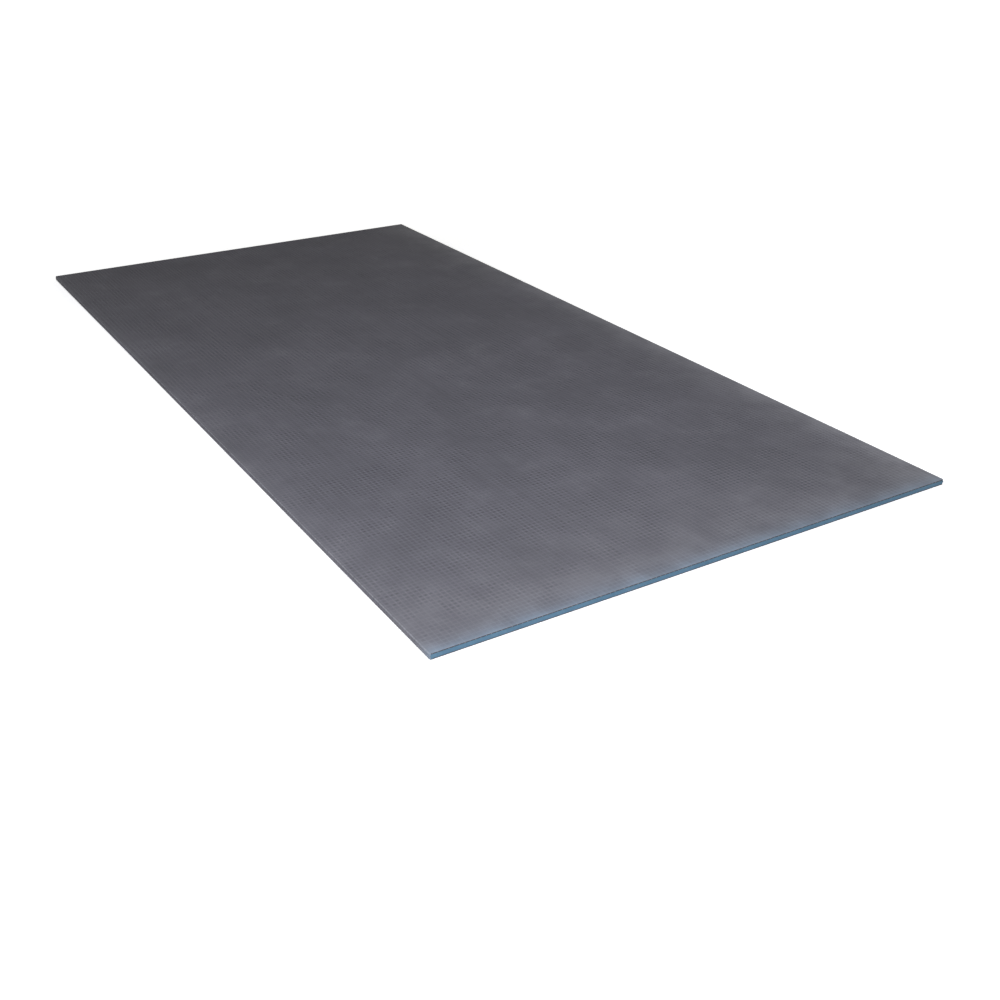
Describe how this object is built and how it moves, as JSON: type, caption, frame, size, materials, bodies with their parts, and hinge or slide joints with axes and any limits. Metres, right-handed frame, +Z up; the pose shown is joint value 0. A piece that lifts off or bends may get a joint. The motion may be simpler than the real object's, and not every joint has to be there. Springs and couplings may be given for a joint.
{
  "type": "tile backer board",
  "caption": "Flat rectangular tile backer board: a thin blue foam core in grey, glass-mesh reinforced mortar on both faces and both long edges, with sawn ends that show the foam.",
  "frame": {"origin": "centre of the underside, on the floor that the board lies on", "axes": "+X across the board's width, +Y along its length, +Z up through its thickness, out of the face that is tiled"},
  "size_m": [0.6, 1.2, 0.006],
  "materials": {
    "blue_foam": "matte",
    "mortar_coat": "matte",
    "glass_thread": "satin"
  },
  "bodies": {
    "root": {"foam_core": "blue_foam", "top_coat": "mortar_coat", "bottom_coat": "mortar_coat"}
  },
  "joints": []
}
